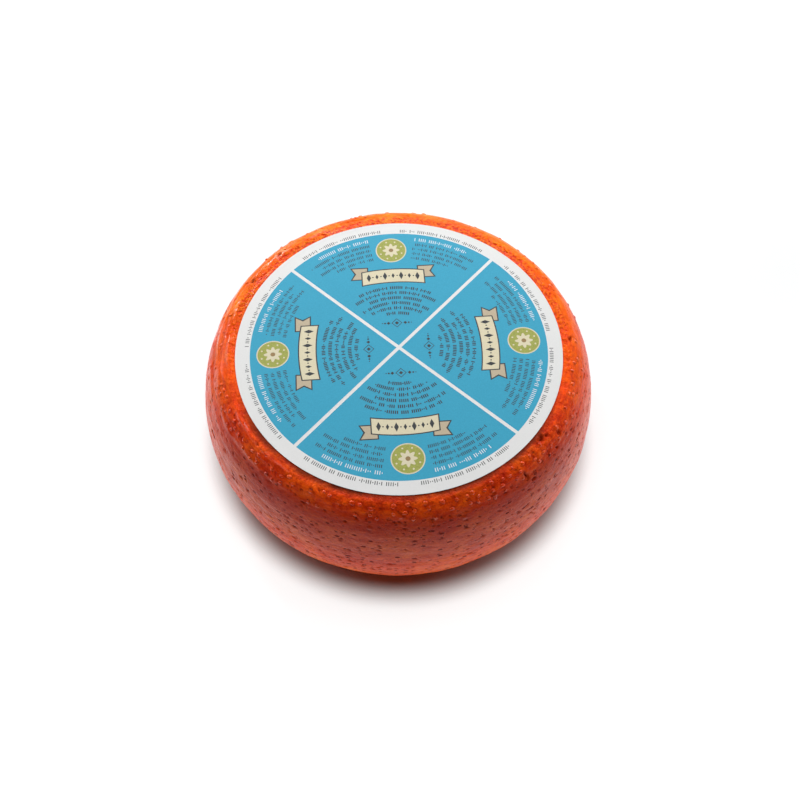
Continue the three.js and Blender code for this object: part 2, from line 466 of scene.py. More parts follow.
def smooth_rind(radius, height, angles):
    """The rind without relief: its points and its outward directions, as grids of rows by columns."""
    columns = len(angles)
    cosine, sine = np.cos(angles), np.sin(angles)
    swollen = radius[:, None] + swell_at(angles)[None, :] * (radius[:, None] > LABEL_RADIUS)
    base = np.stack([swollen * cosine, swollen * sine, np.repeat(height[:, None], columns, 1)], 2)
    slope = np.stack([np.gradient(radius), np.gradient(height)], 1)
    slope /= np.linalg.norm(slope, axis=1)[:, None]
    normal_out, normal_up = -slope[:, 1:], slope[:, :1]
    outward = np.stack([normal_out * cosine, normal_out * sine, np.repeat(normal_up, columns, 1)], 2)
    return base, outward


def uneven_skin(base, length, angles, draw):
    """The rind's own waves and folds, as a relief, and where that makes it dark, partly with painted shade,
    and glossy.
    """
    shape = base.shape[:2]
    flat = base.reshape(-1, 3)
    unrolled = flat * FOLD_STRETCH
    unrolled[:, 2] = np.repeat(length, len(angles))
    broad, short, fold, wrinkle = [
        (size, waves(place, wavelength, count, squash, draw).reshape(shape))
        for place, (size, wavelength, count, squash) in (
            (flat, BROAD_WAVES), (flat, SHORT_WAVES), (unrolled, FOLD_WAVES), (unrolled, WRINKLE_WAVES),
        )
    ]
    calm = np.interp(length, [length_at(level) for level in FOLD_LEVELS], [1.0, SIDE_FOLDS])[:, None]
    wet = np.clip(GLOSSY_GAIN * np.cos(angles - GLOSSY_SIDE) - GLOSSY_CUT, 0, 1)
    creased = fold[0] * fold[1] + wrinkle[0] * wrinkle[1]
    relief = broad[0] * broad[1] + short[0] * short[1] + creased * calm * (1 + wet) - BASE_SINK
    dark, dark_from = FOLD_TINT
    tint = dark * np.clip(-fold[1] - dark_from, 0, 1) * wet * calm
    shine, shine_from, shine_over = FOLD_GLOSS
    gloss = shine * np.clip(fold[1] - shine_from, 0, shine_over)
    for crease in CREASES:
        press_crease(relief, tint, gloss, crease, angles, length)
    return relief, tint, gloss * wet


def cheese_rind(material):
    """The whole wheel as one closed mesh with its marks pressed into it, and the blisters on it."""
    draw = np.random.default_rng(SEED)
    radius, height, length = rind_rows()
    angles = np.arange(COLUMNS) * 2 * math.pi / COLUMNS
    base, outward = smooth_rind(radius, height, angles)
    relief, tint, gloss = uneven_skin(base, length, angles, draw)
    marks = [true_size(mark) for mark in solid_marks()] + fine_marks(draw)
    for mark in marks:
        stamp(relief, tint, gloss, mark, angles, radius, length)

    fade, under = UNDER_LABEL
    bare = np.clip((length + (FLAT_TOP_RADIUS - LABEL_RADIUS)) / fade, 0, 1)[:, None]
    foot = np.clip((length[-1] - length) / FOOT_FADE, 0, 1)[:, None]
    relief = relief * bare * foot - under * (1 - bare)
    grid = base + outward * relief[:, :, None]
    grid[:, :, 2] = np.clip(grid[:, :, 2], 0, RIND_TOP)
    blisters = [mark for mark in marks if mark[0] == "blister"]
    domes = blister_domes(blisters, angles, length, grid, outward, material)

    points = grid.reshape(-1, 3)
    index = np.arange(len(points)).reshape(relief.shape)
    faces = ring_faces(index)
    for rim, under in ((index[0], False), (index[-1], True)):
        cap_points, cap_faces = cap(points[rim[0]][2], len(points), rim, under)
        points = np.concatenate([points, cap_points])
        faces += cap_faces
    wheel = mesh_object("rind", points, faces, [material])
    plain = np.zeros(len(points) - relief.size)
    note_on_points(
        wheel, hollow=np.concatenate([tint.ravel(), plain]), gloss=np.concatenate([gloss.ravel(), plain]),
    )
    return wheel, domes


def ring_faces(index):
    """Quads between each row of a closed grid and the next, facing out."""
    after = np.roll(index, -1, axis=1)
    quads = np.stack([index[:-1], index[1:], after[1:], after[:-1]], 2).reshape(-1, 4)
    return quads.tolist()


def cap(height, first, rim, under):
    """Rings from a rim in to the axis, each with half as many columns, as new points and faces."""
    points = []
    faces = []
    outer = list(rim)
    for radius in INNER_RINGS:
        count = len(outer) // 2
        inner = [first + len(points) + i for i in range(count)]
        points += [(x, y, height) for x, y in circle(0, 0, radius, count)]
        for i in range(count):
            arc = [outer[(2 * i + k) % len(outer)] for k in range(3)]
            face = [*arc, inner[(i + 1) % count], inner[i]]
            faces.append(face[::-1] if under else face)
        outer = inner
    faces.append(outer[::-1] if under else outer)
    return np.array(points), faces


# ----
# The label: flat outlines in label radii, cut into one sheet with a material for each ink
# ----

QUARTERS = 4
QUARTER_TURN = math.radians(3.78)  # how far the label is turned round from square
FIELD_RADIUS = 0.9105
FIELD_POINTS = 40
CROSS_HALF_WIDTH = 0.0105
PAPER_SIDES = 256
PAPER_THICKNESS = 0.10 * MM
PAPER_LIFT = 0.16 * MM  # of the paper's face over the rind, at rest
SHEET_RING = 0.04  # spacing of the sheet's own points
CURL_FROM = 0.93  # outside this radius the paper's edge may stand up
CURL_WIDTH = 0.07

ROUNDEL_RADIUS = 0.770
ROUNDEL_SIZE = 0.100
ROUNDEL_RIM = 0.007
ROUNDEL_SIDES = 56
FLOWER = dict(radius=0.046, sides=72, lobes=8, lobe_depth=0.22)
FLOWER_HEART = 0.015
DOTS = 8
DOT_RING = 0.073
DOT_SIZE = 0.006

RIBBON_RADIUS = 0.560
RIBBON_HALF_WIDTH = 0.196
RIBBON_HALF_HEIGHT = 0.050
RIBBON_SAG = 0.018
RIBBON_LINE = 0.0075  # of its dark outline
TAIL_NEAR = 0.165
TAIL_NOTCH = 0.236
TAIL_FAR = 0.262
TAIL_DROP = 0.030
TAIL_TAPER = 0.014
BIG_DIAMOND = (0.031, 0.014)  # half-height and half-width
SMALL_DIAMOND = (0.020, 0.010)
DIAMONDS = 7
DIAMOND_PITCH = 0.052
DIAMOND_DOT = 0.005

DIAMOND_ROW_RADIUS = 0.185
OPEN_DIAMOND = ((0.034, "dark"), (0.0285, "blue"), (0.013, "dark"))  # half-size and ink, from outside in
SIDE_DIAMONDS = ((0.052, 0.0115), (0.074, 0.0075), (0.090, 0.0045))  # how far out, and half-size

# The rows of plain strokes: middle radius, from and to angle, height, stroke share, ink.
# A row that starts beside the quarter's middle has a twin on the other side.
STROKE_ROWS = (
    (0.932, 4.0, 39.0, 0.0210, 0.18, "dark"),
    (0.866, 10.0, 34.0, 0.0220, 0.17, "white"),
    (0.824, 10.0, 39.0, 0.0190, 0.22, "dark"),
    (0.786, 10.0, 35.0, 0.0190, 0.22, "dark"),
    (0.748, 10.0, 39.0, 0.0190, 0.22, "dark"),
    (0.710, 10.0, 30.0, 0.0190, 0.22, "dark"),
    (0.462, -29.0, 29.0, 0.0200, 0.28, "dark"),
    (0.422, -36.0, 36.0, 0.0200, 0.28, "dark"),
    (0.382, -25.0, 25.0, 0.0200, 0.28, "dark"),
    (0.342, -36.0, 36.0, 0.0200, 0.28, "dark"),
    (0.302, -31.0, 31.0, 0.0200, 0.28, "dark"),
    (0.262, -17.0, 17.0, 0.0200, 0.28, "dark"),
)
# All in a row's height, but for the counts and the share of strokes that are cut short to a dot.
STROKE_PITCH = 0.60
STROKE_WIDTH = 1.25  # times the row's stroke share
STROKE_GAP = 0.7  # between groups
STROKE_GROUP = (3, 13)
STROKE_HALF = 0.56
DOT_HALF = 0.20
DOT_SHARE = 0.25
INKS = ("paper", "blue", "white", "dark", "cream", "shade", "green", "gold")


class Print:
    """Outlines to be cut into the sheet, each with its ink. A later outline lies over an earlier one."""

    def __init__(self):
        self.points = []
        self.edges = []
        self.faces = []
        self.inks = []

    def add(self, outline, ink, quarter=None):
        """Adds an outline, drawn with +Y outwards and turned into a quarter of the label if one is given."""
        if quarter is not None:
            outline = turned(outline, quarter)
        first = len(self.points)
        count = len(outline)
        self.points += [Vector(point) for point in outline]
        self.edges += [(first + i, first + (i + 1) % count) for i in range(count)]
        self.faces.append(list(range(first, first + count)))
        self.inks.append(INKS.index(ink))


def turned(outline, quarter):
    angle = QUARTER_TURN + quarter * math.pi / 2
    cosine, sine = math.cos(angle), math.sin(angle)
    return [(x * cosine - y * sine, x * sine + y * cosine) for x, y in outline]


def circle(x, y, radius, sides, lobes=0, lobe_depth=0.0):
    """A circle or, with lobes, a flower."""
    outline = []
    for i in range(sides):
        angle = 2 * math.pi * i / sides
        reach = radius * (1 + lobe_depth * math.cos(lobes * angle))
        outline.append((x + reach * math.cos(angle), y + reach * math.sin(angle)))
    return outline


def bent_box(middle_radius, angle, width, low, high):
    """A small box on an arc: from low to high outwards, at an angle from the quarter's middle."""
    half = width / 2 / middle_radius
    corners = ((angle - half, high), (angle + half, high), (angle + half, low), (angle - half, low))
    return [(-math.sin(a) * (middle_radius + r), math.cos(a) * (middle_radius + r)) for a, r in corners]


def blue_field():
    """A quarter of the blue field: a sector with a straight gap beside each arm of the cross."""
    gap = math.asin(CROSS_HALF_WIDTH / FIELD_RADIUS)
    arc = np.linspace(gap - math.pi / 4, math.pi / 4 - gap, FIELD_POINTS)
    tip = CROSS_HALF_WIDTH * math.sqrt(2)
    rim = [(-math.sin(a) * FIELD_RADIUS, math.cos(a) * FIELD_RADIUS) for a in arc]
    return [*rim, (0, tip)]


def stroke_row(sheet, quarter, row, draw):
    """A band of plain strokes along an arc, in groups, with some of the strokes cut short to a dot."""
    radius, start, end, height, share, ink = row
    width = share * height * STROKE_WIDTH
    angle = math.radians(start)
    end = math.radians(end)
    while angle < end:
        for _ in range(draw.integers(*STROKE_GROUP)):
            half = height * (DOT_HALF if draw.random() < DOT_SHARE else STROKE_HALF)
            sheet.add(bent_box(radius, angle, width, -half, half), ink, quarter)
            angle += STROKE_PITCH * height / radius
            if angle > end:
                break
        angle += STROKE_GAP * height / radius


def stroke_rows(sheet, quarter, draw):
    for row in STROKE_ROWS:
        stroke_row(sheet, quarter, row, draw)
        radius, start, end, *rest = row
        if start > 0:
            stroke_row(sheet, quarter, (radius, -end, -start, *rest), draw)


def ribbon_middle(x):
    """How far out the bent ribbon's middle line is."""
    return RIBBON_RADIUS - RIBBON_SAG * (x / RIBBON_HALF_WIDTH) ** 2


def ribbon_panel(grow):
    xs = np.linspace(-RIBBON_HALF_WIDTH - grow, RIBBON_HALF_WIDTH + grow, 15)
    upper = [(x, ribbon_middle(x) + RIBBON_HALF_HEIGHT + grow) for x in xs[::-1]]
    lower = [(x, ribbon_middle(x) - RIBBON_HALF_HEIGHT - grow) for x in xs]
    return lower + upper


def ribbon_tail(side, grow):
    """One forked end. Its points grow by more than the straight edges do, so that its outline is even."""
    top = ribbon_middle(TAIL_NEAR) + RIBBON_HALF_HEIGHT + TAIL_DROP
    bottom = ribbon_middle(TAIL_NEAR) - RIBBON_HALF_HEIGHT + TAIL_DROP + TAIL_TAPER
    near, far, notch = TAIL_NEAR - grow, TAIL_FAR + 1.6 * grow, TAIL_NOTCH + 1.4 * grow
    outline = [
        (near, bottom - grow), (far, bottom - grow), (notch, (top + bottom) / 2), (far, top + grow),
        (near, top + grow),
    ]
    placed = [(side * x, y) for x, y in outline]
    return placed if side > 0 else placed[::-1]


def ribbon(sheet, quarter):
    """A cream ribbon with forked ends, a dark outline and a row of diamonds and dots."""
    for side in (-1, 1):
        sheet.add(ribbon_tail(side, RIBBON_LINE), "dark", quarter)
        sheet.add(ribbon_tail(side, 0), "shade", quarter)
    sheet.add(ribbon_panel(RIBBON_LINE), "dark", quarter)
    sheet.add(ribbon_panel(0), "cream", quarter)
    for i in range(DIAMONDS):
        x = (i - (DIAMONDS - 1) / 2) * DIAMOND_PITCH
        y = ribbon_middle(x)
        tall, wide = SMALL_DIAMOND if i % 2 else BIG_DIAMOND
        sheet.add([(x + wide, y), (x, y + tall), (x - wide, y), (x, y - tall)], "dark", quarter)
    for i in range(DIAMONDS - 1):
        x = (i - (DIAMONDS - 2) / 2) * DIAMOND_PITCH
        sheet.add(circle(x, ribbon_middle(x), DIAMOND_DOT, 8), "dark", quarter)


def roundel(sheet, quarter):
    """A green roundel with a cream rim, one large cream flower and a ring of dots."""
    sheet.add(circle(0, ROUNDEL_RADIUS, ROUNDEL_SIZE, ROUNDEL_SIDES), "cream", quarter)
    sheet.add(circle(0, ROUNDEL_RADIUS, ROUNDEL_SIZE - ROUNDEL_RIM, ROUNDEL_SIDES), "green", quarter)
    sheet.add(circle(0, ROUNDEL_RADIUS, **FLOWER), "cream", quarter)
    sheet.add(circle(0, ROUNDEL_RADIUS, FLOWER_HEART, 16), "gold", quarter)
    for i in range(DOTS):
        angle = (i + 0.5) * 2 * math.pi / DOTS
        x, y = DOT_RING * math.cos(angle), ROUNDEL_RADIUS + DOT_RING * math.sin(angle)
        sheet.add(circle(x, y, DOT_SIZE, 8), "cream", quarter)


def diamond_row(sheet, quarter):
    """Near the middle: an open diamond between smaller diamonds that shrink to the sides."""
    for size, ink in OPEN_DIAMOND:
        sheet.add(circle(0, DIAMOND_ROW_RADIUS, size, 4), ink, quarter)
    for side in (-1, 1):
        for x, size in SIDE_DIAMONDS:
            sheet.add(circle(side * x, DIAMOND_ROW_RADIUS, size, 4), "dark", quarter)


def printed_outlines():
    draw = np.random.default_rng(SEED)
    sheet = Print()
    sheet.add(circle(0, 0, 1.0, PAPER_SIDES), "paper")
    for quarter in range(QUARTERS):
        sheet.add(blue_field(), "blue", quarter)
        stroke_rows(sheet, quarter, draw)
        roundel(sheet, quarter)
        ribbon(sheet, quarter)
        diamond_row(sheet, quarter)
    for ring in np.arange(SHEET_RING, 1 - SHEET_RING / 2, SHEET_RING):
        sheet.points += [Vector(point) for point in circle(0, 0, ring, int(2 * math.pi * ring / SHEET_RING))]
    return sheet


def paper_height(x, y, lift):
    """How the sheet lies: faint waves, and an edge that stands up a little here and there."""
    radius = math.hypot(x, y)
    angle = math.atan2(y, x)
    ripple = 0.022 * math.sin(5.1 * x + 2.3 * y + 1.0) + 0.016 * math.sin(9.0 * y - 6.5 * x)
    edge = max(0.0, (radius - CURL_FROM) / CURL_WIDTH) ** 2
    curl = 0.035 + 0.035 * math.sin(3 * angle + 2.4) + 0.02 * math.sin(7 * angle)
    return RIND_TOP + lift + (ripple + curl * edge) * MM


def place_on_wheel(x, y, lift):
    return (LABEL_MIDDLE.x + x * LABEL_RADIUS, LABEL_MIDDLE.y + y * LABEL_RADIUS, paper_height(x, y, lift))


def label_sheet(materials):
    """The printed sheet as one closed mesh: its outlines cut the face, and it has an edge and a back."""
    sheet = printed_outlines()
    points, _, faces, _, _, owners = delaunay_2d_cdt(sheet.points, sheet.edges, sheet.faces, 0, 1e-6)
    front = [face for face, owner in zip(faces, owners) if owner]
    inks = [sheet.inks[max(owner)] for owner in owners if owner]
    count = len(points)
    back = [[i + count for i in face[::-1]] for face in front]
    edge = [[b, a, a + count, b + count] for a, b in rim_edges(front)]
    corners = [place_on_wheel(p.x, p.y, PAPER_LIFT) for p in points]
    corners += [place_on_wheel(p.x, p.y, PAPER_LIFT - PAPER_THICKNESS) for p in points]
    made = mesh_object("label_sheet", corners, front + back + edge, materials, smooth=False)
    paper = INKS.index("paper")
    made.data.polygons.foreach_set("material_index", inks + [paper] * (len(back) + len(edge)))
    drop_loose(made)
    return made


def rim_edges(faces):
    """The edges that only one face has, in that face's direction."""
    edges = [edge for face in faces for edge in zip(face, [*face[1:], face[0]])]
    seen = set(edges)
    return [(a, b) for a, b in edges if (b, a) not in seen]


def drop_loose(made):
    """Takes away points that no face uses."""
    work = bmesh.new()
    work.from_mesh(made.data)
    bmesh.ops.delete(work, geom=[v for v in work.verts if not v.link_faces], context="VERTS")
    work.to_mesh(made.data)
    work.free()


# ----
# Materials
# ----

class Shader:
    """A material's nodes, added one at a time."""

    def __init__(self, name):
        self.material = bpy.data.materials.new(name)
        self.material.use_nodes = True
        self.tree = self.material.node_tree
        self.surface = self.tree.nodes["Principled BSDF"]

    def node(self, kind, **values):
        made = self.tree.nodes.new(kind)
        for key, value in values.items():
            if hasattr(made, key):
                setattr(made, key, value)
            else:
                made.inputs[key.replace("_", " ")].default_value = value
        return made

    def link(self, source, target):
        self.tree.links.new(source, target)

    def set(self, **values):
        """Sets the surface's inputs: a socket is linked, and a constant is set on the input itself."""
        for key, value in values.items():
            target = self.surface.inputs[key.replace("_", " ")]
            if isinstance(value, bpy.types.NodeSocket):
                self.link(value, target)
            else:
                target.default_value = value

    def position(self, scale=(1, 1, 1)):
        coordinates = self.node("ShaderNodeTexCoord")
        mapping = self.node("ShaderNodeMapping")
        mapping.inputs["Scale"].default_value = scale
        self.link(coordinates.outputs["Object"], mapping.inputs["Vector"])
        return mapping.outputs["Vector"]

    def place(self, axis):
        apart = self.node("ShaderNodeSeparateXYZ")
        self.link(self.position(), apart.inputs["Vector"])
        return apart.outputs[axis]

    def attribute(self, name):
        return self.node("ShaderNodeAttribute", attribute_name=name).outputs["Fac"]

    def noise(self, scale, detail=3.0, roughness=0.5, squash=1.0):
        """Noise with about scale lumps in a metre, squashed in height."""
        made = self.node("ShaderNodeTexNoise", Scale=scale, Detail=detail, Roughness=roughness)
        self.link(self.position((1, 1, squash)), made.inputs["Vector"])
        return made.outputs["Fac"]

    def ramp(self, value, stops):
        made = self.node("ShaderNodeValToRGB")
        elements = made.color_ramp.elements
        while len(elements) < len(stops):
            elements.new(0.5)
        for element, (place, colour) in zip(elements, stops):
            element.position = place
            element.color = opaque(colour)
        self.link(value, made.inputs["Fac"])
        return made.outputs["Color"]

    def mix(self, amount, first, second, blend="MIX"):
        made = self.node("ShaderNodeMix", data_type="RGBA", blend_type=blend)
        for socket, value in (("Factor", amount), ("A", first), ("B", second)):
            target = [s for s in made.inputs if s.name == socket and s.enabled][0]
            if isinstance(value, bpy.types.NodeSocket):
                self.link(value, target)
            else:
                target.default_value = value
        return [s for s in made.outputs if s.enabled][0]

    def tinted(self, colour, tint):
        return self.mix(1.0, colour, tint, "MULTIPLY")

    def bump(self, height, distance, strength, before=None):
        made = self.node("ShaderNodeBump", Strength=strength, Distance=distance)
        self.link(height, made.inputs["Height"])
        if before is not None:
            self.link(before, made.inputs["Normal"])
        return made.outputs["Normal"]

    def math(self, operation, *values):
        made = self.node("ShaderNodeMath", operation=operation)
        for target, value in zip(made.inputs, values):
            if isinstance(value, bpy.types.NodeSocket):
                self.link(value, target)
            else:
                target.default_value = value
        return made.outputs["Value"]

    def times(self, first, second):
        return self.math("MULTIPLY", first, second)

    def range(self, value, low, high):
        """0 to 1 as a value goes from low to high."""
        limits = dict(From_Min=low, From_Max=high)
        made = self.node("ShaderNodeMapRange", interpolation_type="SMOOTHSTEP", **limits)
        self.link(value, made.inputs["Value"])
        return made.outputs["Result"]

    def spots(self, stretch, scale, size):
        """Round spots, at most one in a cell and none in some: 1 in the middle of each, 0 between them."""
        cells = self.node("ShaderNodeTexVoronoi", Scale=scale)
        self.link(self.position(stretch), cells.inputs["Vector"])
        chance = self.node("ShaderNodeSeparateColor")
        self.link(cells.outputs["Color"], chance.inputs["Color"])
        reach = self.times(self.range(chance.outputs["Red"], *SPOT_CHANCE), size)
        inside = self.math("DIVIDE", cells.outputs["Distance"], self.math("MAXIMUM", reach, LEAST_SPOT))
        return self.range(inside, 1.0, SPOT_CORE)

    def streaks(self, scale, detail, stretch):
        """Noise drawn out round the wheel: fast down the profile and slow round the axis."""
        out = self.node("ShaderNodeVectorMath", operation="LENGTH")
        self.link(self.position((1, 1, 0)), out.inputs[0])
        apart = self.node("ShaderNodeSeparateXYZ")
        self.link(self.position((stretch, stretch, 1)), apart.inputs["Vector"])
        joined = self.node("ShaderNodeCombineXYZ")
        self.link(apart.outputs["X"], joined.inputs["X"])
        self.link(apart.outputs["Y"], joined.inputs["Y"])
        self.link(self.math("SUBTRACT", apart.outputs["Z"], out.outputs["Value"]), joined.inputs["Z"])
        made = self.node("ShaderNodeTexNoise", Scale=scale, Detail=detail, Roughness=0.6)
        self.link(joined.outputs["Vector"], made.inputs["Vector"])
        return made.outputs["Fac"]


def grey(value):
    return (value, value, value)


def opaque(colour):
    return (*colour, 1)


# A cell's chance value from which it has a spot, and that of the largest; the least spot; the spot's core.
SPOT_CHANCE = (0.35, 1.0)
LEAST_SPOT = 0.001
SPOT_CORE = 0.55

# The rind's zones, each as where it starts and where it is full. Heights are shares of the rind's height,
# and the rest are metres: backwards in the frame, or out from the label's middle.
SHOULDER_HEIGHT = (0.86, 0.95)
BEHIND = (0.0, 0.05)
FRONT_TO_SIDE = (-0.062, -0.016)
FRONT_TO_BACK = (-0.045, 0.045)
LOWER_HEIGHT = (0.70, 0.42)
LOWER_BACKWARD = (-0.055, 0.0)
SKIN_HEIGHT = (0.91, 0.97)
SKIN_BACKWARD = (0.0, -0.04)
# in front, where the label's edge casts its painted shadow
LABEL_SHADOW_BACKWARD = (-0.02, -0.05)
LABEL_SHADOW_RADII = (LABEL_RADIUS + 3.6 * MM, LABEL_RADIUS + 0.8 * MM)
STRIP_RADII = (LABEL_RADIUS + 5.4 * MM, LABEL_RADIUS + 3.4 * MM)
# the side behind takes on the front's colours, and with them their painted shade
LOW_BEHIND_FRONT = 0.8  # how far the side behind goes back to the front's colours
PATCH_SHARE = 0.6  # of the patches in the rind's colour; the strands have the rest

# Colours by the patches and strands, from deep red to golden orange. The front's are darker and redder and
# the back's brighter and more orange: painted shade in front and painted light behind, over the coating's
# own colour.
FRONT_COLOURS = ((0.38, (0.72, 0.038, 0.003)), (0.50, (0.84, 0.062, 0.004)), (0.62, (0.93, 0.100, 0.005)))
SIDE_COLOURS = ((0.38, (0.90, 0.052, 0.003)), (0.50, (0.96, 0.080, 0.003)), (0.62, (0.98, 0.118, 0.004)))
BACK_COLOURS = ((0.38, (0.95, 0.100, 0.002)), (0.50, (0.98, 0.148, 0.002)), (0.62, (0.99, 0.200, 0.003)))
# Tints by height, which paint light and shade: in front deeper in colour high up, duller, darker and pinker
# half way down with painted shade and a painted sheen, and paler at the foot with painted light from the
# floor. The side's tints are milder, of the same painted kind.
FRONT_LIGHT_AND_SHADE = (
    (0.28, (1.18, 1.75, 1.2)), (0.46, (1.05, 1.06, 0.9)), (0.62, (0.80, 0.98, 1.6)),
    (0.72, (0.74, 0.88, 1.5)), (0.85, (0.58, 0.44, 0.6)), (0.90, (0.64, 0.50, 0.6)),
    (0.965, (1.08, 1.05, 1.0)), (0.985, (1.12, 1.1, 1.0)), (0.998, (0.82, 0.75, 0.8)),
)
SIDE_LIGHT_AND_SHADE = (
    (0.28, (1.05, 1.30, 1.3)), (0.50, grey(1.0)), (0.88, (0.94, 0.82, 0.9)), (0.985, grey(1)),
)
# painted shade on the lower half round the sides and the back
LOWER_PAINTED_SHADE = (0.80, 0.52, 0.8)
SPECKLE_TINTS = ((0.32, (0.90, 0.76, 0.8)), (0.68, (1.10, 1.24, 1.2)))
THREAD_TINTS = ((0.36, (0.92, 0.82, 0.85)), (0.64, (1.08, 1.18, 1.15)))
SKIN_TINTS = ((0.36, (0.72, 0.48, 0.6)), (0.60, (1.14, 1.30, 1.1)))
# the hollows' deep red: partly the coating's own, partly painted shade
HOLLOW_COLOUR = (0.19, 0.010, 0.004)
RED_SPOT_COLOUR = (0.78, 0.040, 0.003)
# the painted shadow that the label's edge casts on the rind in front
LABEL_SHADOW_COLOUR = (0.20, 0.022, 0.004)

# How much of the hollow's colour each kind of hollow takes; that colour is partly painted shade.
PIT_DARK = 0.80
FINE_PIT_DARK = 0.42
MODELLED_DARK = 0.82
PITS_BY_HEIGHT = ((0.87, grey(1)), (0.96, grey(0.15)))
RED_SPOT_GRAIN = (0.56, 0.40)
RAGGED_NOISE = (0.38, 0.62)
RAGGED_LEAST = 0.4
RAGGED_MORE = 0.5

ROUGHNESS = ((0.3, grey(0.26)), (0.7, grey(0.40)))
HOLLOW_ROUGHNESS = 0.85
# The weight of the glossy coating by height: it is thickest half way up the side.
COATING = (
    (0.30, grey(0.10)), (0.46, grey(0.12)), (0.58, grey(0.28)), (0.70, grey(0.34)), (0.82, grey(0.20)),
    (0.89, grey(0.09)), (0.97, grey(0.04)), (0.99, grey(0.015)),
)
GLOSS_BY_HEIGHT = ((0.80, grey(0)), (0.88, grey(1)))
STRIP_COATING = 0.10


class RindShader(Shader):
    """The rind's nodes, with the sockets that its colour, its gloss and its surface share."""

    def __init__(self):
        super().__init__("rind")
        self.backward = self.place("Y")
        self.height = self.math("DIVIDE", self.place("Z"), RIND_TOP)
        self.to_label = self.distance_to_label()
        self.gloss = self.attribute("gloss")
        self.strands = self.streaks(300, 4, 0.22)
        self.skin = self.noise(340, 4, 0.68)
        self.grain = self.noise(800, 2, 0.5)
        self.set_sides()
        self.set_rough_skin()
        self.set_hollows()

    def distance_to_label(self):
        """How far out from the label's middle a place is."""
        apart = self.node("ShaderNodeVectorMath", operation="DISTANCE")
        self.link(self.position((1, 1, 0)), apart.inputs[0])
        apart.inputs[1].default_value = (LABEL_MIDDLE.x, LABEL_MIDDLE.y, 0)
        return apart.outputs["Value"]

    def set_sides(self):
        """The shoulder turns to the back's colours. The side turns to its own, and behind nearly back."""
        shoulder = self.range(self.height, *SHOULDER_HEIGHT)
        below = self.math("SUBTRACT", 1.0, shoulder)
        low_behind = self.times(below, self.range(self.backward, *BEHIND))
        kept = self.math("MULTIPLY_ADD", low_behind, -LOW_BEHIND_FRONT, 1.0)
        # the back's colours hold painted light and the front's painted shade
        self.to_side = self.times(self.range(self.backward, *FRONT_TO_SIDE), kept)
        self.to_back = self.times(self.range(self.backward, *FRONT_TO_BACK), shoulder)
        self.strip = self.times(self.range(self.to_label, *STRIP_RADII), self.to_back)

    def set_rough_skin(self):
        """The front shoulder has a rough, mottled skin, but for what is glossy on it."""
        in_front = self.range(self.backward, *SKIN_BACKWARD)
        rough = self.times(self.range(self.height, *SKIN_HEIGHT), in_front)
        self.rough_skin = self.times(rough, self.math("SUBTRACT", 1.0, self.gloss))

    def set_hollows(self):
        """Small pits stretched round the wheel, one in some of the cells, and the modelled hollows: their
        darkness is partly painted shade.
        """
        on_side = self.ramp(self.height, PITS_BY_HEIGHT)
        self.pit = self.times(self.spots((1, 1, 2.1), 270, 0.39), on_side)
        self.fine_pit = self.times(self.spots((1, 1, 1.9), 620, 0.34), on_side)
        dark = self.math("MAXIMUM", self.times(self.pit, PIT_DARK), self.times(self.fine_pit, FINE_PIT_DARK))
        self.dark = self.math("MAXIMUM", dark, self.times(self.attribute("hollow"), MODELLED_DARK))


def coating_colour(shader):
    """The coating's colour in patches and strands, tinted by noise and by height and side, these painting
    light and shade.
    """
    patches = shader.times(shader.noise(60, 5, 0.62), PATCH_SHARE)
    fibres = shader.math("ADD", patches, shader.times(shader.strands, 1 - PATCH_SHARE))
    front, side, back = [shader.ramp(fibres, stops) for stops in (FRONT_COLOURS, SIDE_COLOURS, BACK_COLOURS)]
    colour = shader.mix(shader.to_back, shader.mix(shader.to_side, front, side), back)
    # painted light and shade by height, the front's and the side's
    light_and_shade_by_height = [shader.ramp(shader.height, stops) for stops in (FRONT_LIGHT_AND_SHADE, SIDE_LIGHT_AND_SHADE)]
    colour = shader.tinted(colour, shader.mix(shader.to_side, *light_and_shade_by_height))
    # round the sides and the back the lower half is darker and redder: painted shade like the front's
    round_the_back = shader.range(shader.backward, *LOWER_BACKWARD)
    lower = shader.times(shader.range(shader.height, *LOWER_HEIGHT), round_the_back)
    colour = shader.mix(lower, colour, shader.tinted(colour, opaque(LOWER_PAINTED_SHADE)))
    colour = shader.tinted(colour, shader.ramp(shader.noise(430, 3, 0.65, 1.6), SPECKLE_TINTS))
    colour = shader.tinted(colour, shader.ramp(shader.streaks(900, 3, 0.30), THREAD_TINTS))
    mottled = shader.tinted(colour, shader.ramp(shader.skin, SKIN_TINTS))
    return shader.mix(shader.rough_skin, colour, mottled)


def marked_colour(shader, colour):
    """Dark hollows, partly painted shade; beside the label red spots behind, and in front a ragged painted
    shadow of the label's edge.
    """
    colour = shader.mix(shader.dark, colour, opaque(HOLLOW_COLOUR))
    red_spots = shader.times(shader.strip, shader.range(shader.grain, *RED_SPOT_GRAIN))
    colour = shader.mix(red_spots, colour, opaque(RED_SPOT_COLOUR))
    # a painted shadow beside the label's front edge, broken up by noise
    patches = shader.range(shader.noise(90, 3, 0.6), *RAGGED_NOISE)
    ragged = shader.math("MULTIPLY_ADD", patches, RAGGED_MORE, RAGGED_LEAST)
    in_front = shader.range(shader.backward, *LABEL_SHADOW_BACKWARD)
    beside = shader.range(shader.to_label, *LABEL_SHADOW_RADII)
    label_shadow = shader.times(shader.times(beside, in_front), ragged)
    return shader.mix(label_shadow, colour, opaque(LABEL_SHADOW_COLOUR))


